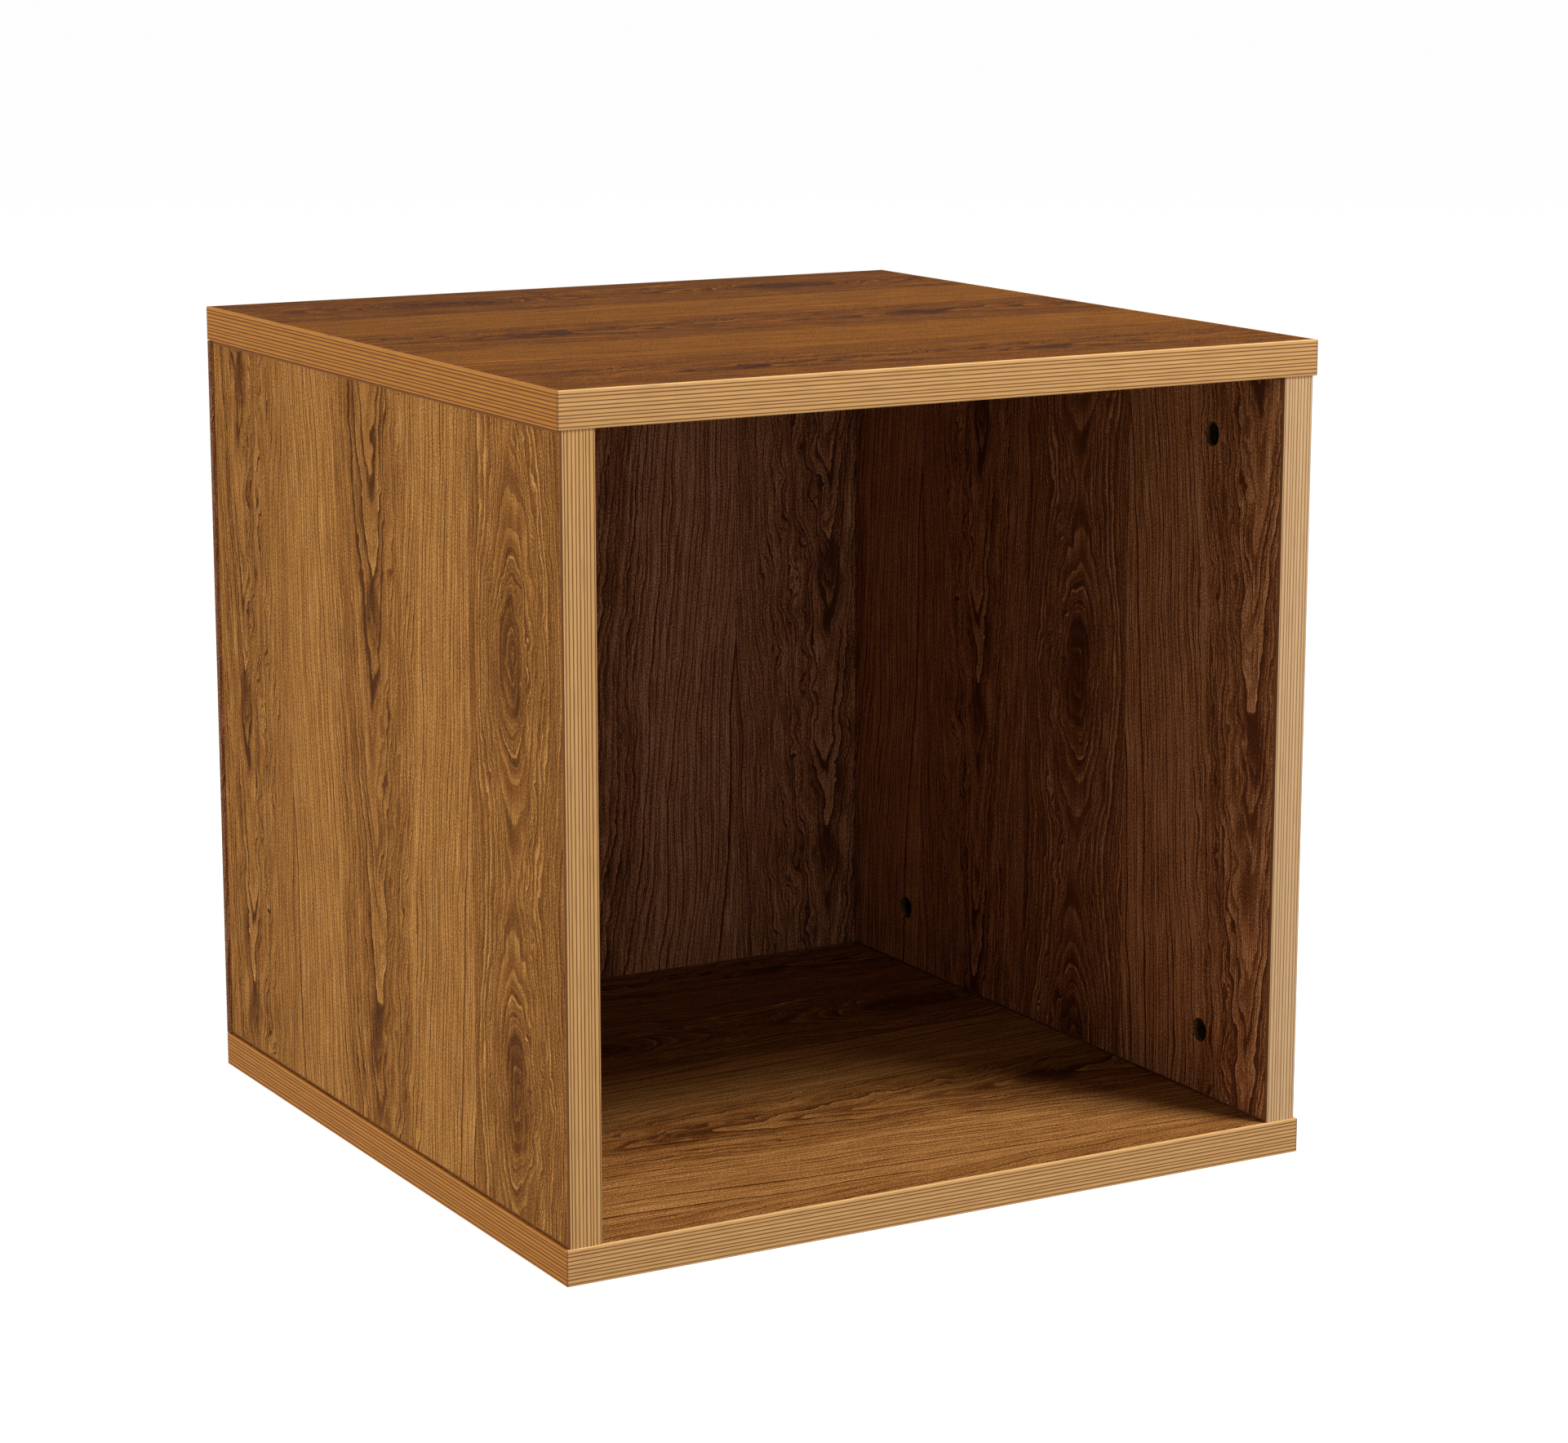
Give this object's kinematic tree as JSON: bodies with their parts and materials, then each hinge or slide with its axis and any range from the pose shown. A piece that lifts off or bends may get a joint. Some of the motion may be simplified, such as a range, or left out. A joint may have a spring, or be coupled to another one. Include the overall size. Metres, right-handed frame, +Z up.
{
  "type": "cube storage unit",
  "caption": "Open-fronted storage cube of walnut-look boards with striped plywood-look edges, held by dowels and cam locks, closed by a thin back panel.",
  "frame": {"origin": "middle of the base, on the surface the cube stands on", "axes": "+Z up, -Y out of the open front, +X to the right as seen from the front"},
  "size_m": [0.35, 0.35, 0.35],
  "materials": {
    "walnut_laminate": "satin walnut-look laminate on board",
    "walnut_back_panel": "satin walnut-look hardboard",
    "striped_edge_band": "satin light edge band with dark ply lines",
    "cam_zinc": "dark die-cast zinc",
    "bolt_steel": "zinc-plated",
    "dowel_beech": "raw beech",
    "screw_steel": "yellow-passivated zinc plate"
  },
  "bodies": {
    "cube": {"bottom_board": "walnut_laminate", "top_board": "walnut_laminate", "left_side_board": "walnut_laminate", "right_side_board": "walnut_laminate", "back_panel": "walnut_back_panel", "bottom_board_front_edge_band": "striped_edge_band", "bottom_board_rear_edge_band": "striped_edge_band", "bottom_board_left_edge_band": "striped_edge_band", "bottom_board_right_edge_band": "striped_edge_band", "top_board_front_edge_band": "striped_edge_band", "top_board_rear_edge_band": "striped_edge_band", "top_board_left_edge_band": "striped_edge_band", "top_board_right_edge_band": "striped_edge_band", "left_side_board_front_edge_band": "striped_edge_band", "left_side_board_rear_edge_band": "striped_edge_band", "left_side_board_upper_edge_band": "striped_edge_band", "left_side_board_lower_edge_band": "striped_edge_band", "right_side_board_front_edge_band": "striped_edge_band", "right_side_board_rear_edge_band": "striped_edge_band", "right_side_board_upper_edge_band": "striped_edge_band", "right_side_board_lower_edge_band": "striped_edge_band", "lower_cam_bolts": "bolt_steel", "lower_dowels": "dowel_beech", "upper_cam_bolts": "bolt_steel", "upper_dowels": "dowel_beech", "back_panel_screws": "screw_steel"},
    "cam_lock_left_lower_front": {"cam_lock_left_lower_front": "cam_zinc"},
    "cam_lock_left_lower_rear": {"cam_lock_left_lower_rear": "cam_zinc"},
    "cam_lock_left_upper_front": {"cam_lock_left_upper_front": "cam_zinc"},
    "cam_lock_left_upper_rear": {"cam_lock_left_upper_rear": "cam_zinc"},
    "cam_lock_right_lower_front": {"cam_lock_right_lower_front": "cam_zinc"},
    "cam_lock_right_lower_rear": {"cam_lock_right_lower_rear": "cam_zinc"},
    "cam_lock_right_upper_front": {"cam_lock_right_upper_front": "cam_zinc"},
    "cam_lock_right_upper_rear": {"cam_lock_right_upper_rear": "cam_zinc"}
  },
  "joints": [
    {"name": "turn_cam_left_lower_front", "type": "hinge", "parent": "cube", "child": "cam_lock_left_lower_front", "pos_m": [-0.1662, -0.1245, 0.044], "axis": [1, 0, 0], "range_deg": [0, 180]},
    {"name": "turn_cam_left_lower_rear", "type": "hinge", "parent": "cube", "child": "cam_lock_left_lower_rear", "pos_m": [-0.1662, 0.1225, 0.044], "axis": [1, 0, 0], "range_deg": [0, 180]},
    {"name": "turn_cam_left_upper_front", "type": "hinge", "parent": "cube", "child": "cam_lock_left_upper_front", "pos_m": [-0.1662, -0.1245, 0.306], "axis": [1, 0, 0], "range_deg": [0, 180]},
    {"name": "turn_cam_left_upper_rear", "type": "hinge", "parent": "cube", "child": "cam_lock_left_upper_rear", "pos_m": [-0.1662, 0.1225, 0.306], "axis": [1, 0, 0], "range_deg": [0, 180]},
    {"name": "turn_cam_right_lower_front", "type": "hinge", "parent": "cube", "child": "cam_lock_right_lower_front", "pos_m": [0.1662, -0.1245, 0.044], "axis": [-1, 0, 0], "range_deg": [0, 180]},
    {"name": "turn_cam_right_lower_rear", "type": "hinge", "parent": "cube", "child": "cam_lock_right_lower_rear", "pos_m": [0.1662, 0.1225, 0.044], "axis": [-1, 0, 0], "range_deg": [0, 180]},
    {"name": "turn_cam_right_upper_front", "type": "hinge", "parent": "cube", "child": "cam_lock_right_upper_front", "pos_m": [0.1662, -0.1245, 0.306], "axis": [-1, 0, 0], "range_deg": [0, 180]},
    {"name": "turn_cam_right_upper_rear", "type": "hinge", "parent": "cube", "child": "cam_lock_right_upper_rear", "pos_m": [0.1662, 0.1225, 0.306], "axis": [-1, 0, 0], "range_deg": [0, 180]}
  ]
}
